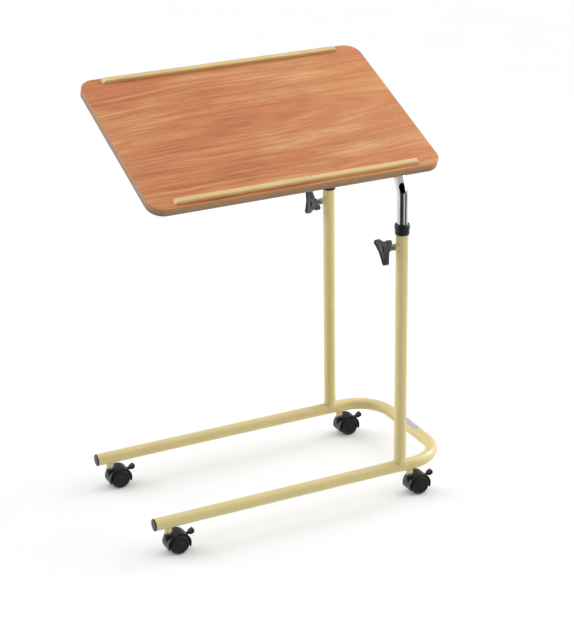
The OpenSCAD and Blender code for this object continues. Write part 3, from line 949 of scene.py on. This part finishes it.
WHEEL_IN = 4 * MM
WHEEL_W = extent("castor_1_wheel_a").y
AXLE_R = 2.55 * MM
wheel_mesh = lathe(
    soften(
        [
            (AXLE_R, 0), (6 * MM, 0), (6 * MM, WHEEL_W - 4 * MM), (WHEEL_R - 5 * MM, WHEEL_W - 4 * MM),
            (WHEEL_R - 5 * MM, 0), (WHEEL_R - 1.2 * MM, 0),
            (WHEEL_R, 1.6 * MM), (WHEEL_R, WHEEL_W - 3.2 * MM),
            (WHEEL_R - 1.6 * MM, WHEEL_W - 0.8 * MM), (WHEEL_R - 3.2 * MM, WHEEL_W),
            (WHEEL_R - 4.6 * MM, WHEEL_W), (WHEEL_R - 5.2 * MM, WHEEL_W - 0.9 * MM),
            (5.6 * MM, WHEEL_W - 1.1 * MM), (4.8 * MM, WHEEL_W - 0.2 * MM),
            (0, WHEEL_W), (0, WHEEL_W - 2.5 * MM), (AXLE_R, WHEEL_W - 2.5 * MM),
        ],
        [
            0.2 * MM, 0.4 * MM, 0.5 * MM, 0.5 * MM, 0.4 * MM, 0.8 * MM, 0.9 * MM, 1.6 * MM, 1.2 * MM,
            0.6 * MM, 0.3 * MM, 0.3 * MM, 0.5 * MM, 0.6 * MM, 0, 0, 0.2 * MM,
        ],
        steps=4,
    ),
    steps=96,
)

axle_1 = CASTORS[1]
to_axle = shift(-axle_1.x, -axle_1.y, -axle_1.z)
LEVER = Vector((9, 10)) * MM  # brake pin, from the axle, in X and Z
RIM_Y = 15.2 * MM


def hood_rim(y):
    """The rolled rim along one side of the hood."""
    path = [(x, y, z) for x, z in arc(HOOD_R - 0.6 * MM, -17, 197, 48)]
    return tube(path, (0, 1, 0), 0.9 * MM, 0.05 * MM, steps=12)


hood_mesh = moulded(
    joined(moved(nodes["castor_1_housing"].data, to_axle), hood_rim(-RIM_Y), hood_rim(RIM_Y)),
    0.38 * MM,
)
ribs = []
for k in range(3):
    x, z = LEVER.x + (18.2 + 2.5 * k) * MM, LEVER.y + (8.85 + 1.43 * k) * MM
    ribs.append(tube([(x, y * MM, z) for y in (-4.6, 0, 4.6)], (0, 0, 1), 0.55 * MM, 0.05 * MM, steps=12))
brake_mesh = moulded(joined(moved(nodes["castor_1_brake"].data, to_axle), *ribs), 0.25 * MM)

for n, axle in CASTORS.items():
    here, castor = shift(*axle), f"castor_{n}"
    for part, mesh, body in (("housing", hood_mesh, castor), ("brake", brake_mesh, f"{castor}_lever")):
        node = f"{castor}_{part}"
        piece(f"{node}_moulded", mesh, "castor_plastic", body, node, at=here, sharp=60)
    for letter, sign in (("a", -1), ("b", 1)):
        piece(
            f"{castor}_wheel_{letter}_moulded",
            wheel_mesh,
            "wheel_nylon",
            f"{castor}_roller_{letter}",
            f"{castor}_wheel_{letter}",
            at=here @ shift(0, sign * WHEEL_IN, 0) @ turned("X", -90 * sign),
        )


# ---------- stage, light and camera ----------

scene = bpy.context.scene
scene.view_settings.view_transform = "Standard"
scene.view_settings.look = "None"

FLOOR_HALF = 60.0
floor_mesh = mesh_of(
    [(x * FLOOR_HALF, y * FLOOR_HALF, 0) for x, y in ((-1, -1), (1, -1), (1, 1), (-1, 1))], [(0, 1, 2, 3)]
)
floor = bpy.data.objects.new("studio_floor", floor_mesh)
scene.collection.objects.link(floor)
paper = Surface("paper_look", Roughness=0.9, Emission_Color=(1, 1, 1, 1), Emission_Strength=0.13)
fleck = paper.noise(paper.place(4, 4, 4))
paper.colour(paper.ramp(fleck, (0.3, (0.84, 0.85, 0.87, 1)), (0.7, (0.85, 0.86, 0.88, 1))))
floor_mesh.materials.append(paper.material)
floor.visible_glossy = False

# A pale backdrop that only the camera sees, so low views have a plain background
BACKDROP_R, BACKDROP_TOP = 40.0, 30.0
backdrop_mesh = lathe(
    [(BACKDROP_R, -1), (BACKDROP_R, BACKDROP_TOP), (BACKDROP_R + 0.5, BACKDROP_TOP), (BACKDROP_R + 0.5, -1)]
)
backdrop = bpy.data.objects.new("studio_backdrop", backdrop_mesh)
scene.collection.objects.link(backdrop)
screen = Surface("backdrop_look", Roughness=1.0, Emission_Color=(1, 1, 1, 1), Emission_Strength=1.0)
screen.colour(screen.ramp(screen.noise(screen.place(4, 4, 4)), (0.3, 0.6), (0.7, 0.65)))
backdrop_mesh.materials.append(screen.material)
backdrop.visible_diffuse = backdrop.visible_glossy = backdrop.visible_transmission = False
backdrop.visible_volume_scatter = backdrop.visible_shadow = False

YAW, PITCH, ROLL = (math.radians(a) for a in (25.79, 22.53, -0.852))
world = bpy.data.worlds.new("studio")
scene.world = world
world.use_nodes = True
studio = Graph(world.node_tree)
gaze = studio.add("TexCoord", {}, out="Generated")


def around(*stops):
    """Light by direction: pairs of degrees, 0 on the camera's side and 90 on its right, and strength."""

    def along(direction):
        inputs = {0: gaze, 1: direction}
        return studio.add("VectorMath", inputs, out="Value", operation="DOT_PRODUCT")

    front = along((-math.sin(YAW), -math.cos(YAW), 0))
    aside = along((math.cos(YAW), -math.sin(YAW), 0))
    bearing = studio.math("ARCTAN2", aside, front)
    share = studio.math("ADD", studio.math("DIVIDE", bearing, 2 * math.pi), 0.5)
    return studio.ramp(share, *((0.5 + degrees / 360, strength) for degrees, strength in stops))


# Ramp colours stop at 1, so these are shares of one strength
SKY_STRENGTH = 2.6
walls = around(
    (-180, 0.1), (-136, 0.25), (-116, 0.9), (-100, 1.0), (-79, 0.5), (-62, 0.0), (58, 0.0), (75, 0.5),
    (93, 1.0), (112, 0.9), (136, 0.25), (180, 0.1),
)
below = around(
    (-180, 0.38), (-72, 0.35), (-60, 0.23), (-48, 0.05), (-38, 0.015), (8, 0.015), (20, 0.11), (34, 0.32),
    (48, 0.15), (62, 0.04), (88, 0.04), (104, 0.38), (180, 0.38),
)
height = studio.add("SeparateXYZ", {0: gaze}, out=2)
upper = studio.mix(studio.fade(height, 0.55, 0.9), walls, (0.48, 0.48, 0.48, 1))
light = studio.mix(studio.fade(height, -0.06, 0.04), below, upper)
sky = world.node_tree.nodes["Background"]
studio.put(sky.inputs["Color"], light)
sky.inputs["Strength"].default_value = SKY_STRENGTH


def softbox(name, size, power, place, target, glint_only=False):
    """An area lamp. A glint-only one shows in glossy surfaces and lights nothing else."""
    data = bpy.data.lights.new(name, "AREA")
    data.size, data.energy = size, power
    lamp = bpy.data.objects.new(name, data)
    scene.collection.objects.link(lamp)
    lamp.location = place
    lamp.rotation_euler = (Vector(target) - lamp.location).to_track_quat("-Z", "Y").to_euler()
    lamp.visible_camera = False
    lamp.visible_diffuse = not glint_only


softbox("lamp_right", 0.9, 7, (1.5, 0.2, 1.7), (0.1, 0, 0.6))
softbox("glint_right", 0.35, 10, (1.7, 0.1, 0.9), (0.25, 0, 0.2), glint_only=True)
softbox("glint_left", 0.4, 14, (-0.9, 0.8, 2.1), (0.25, 0, 0.2), glint_only=True)

SENSOR, LENS = 36.0, 107.3886
CAMERA_AT = (-1.5118, -3.187, 1.8629)
forward = Vector((math.sin(YAW) * math.cos(PITCH), math.cos(YAW) * math.cos(PITCH), -math.sin(PITCH)))
level_right = Vector((math.cos(YAW), -math.sin(YAW), 0))
level_up = level_right.cross(forward)
right = level_right * math.cos(ROLL) + level_up * math.sin(ROLL)
up = level_up * math.cos(ROLL) - level_right * math.sin(ROLL)
camera_data = bpy.data.cameras.new("camera")
camera_data.sensor_width, camera_data.lens = SENSOR, LENS
camera_data.clip_end = 200
camera = bpy.data.objects.new("camera", camera_data)
scene.collection.objects.link(camera)
camera.matrix_world = Matrix.Translation(CAMERA_AT) @ Matrix((right, up, -forward)).transposed().to_4x4()
scene.camera = camera
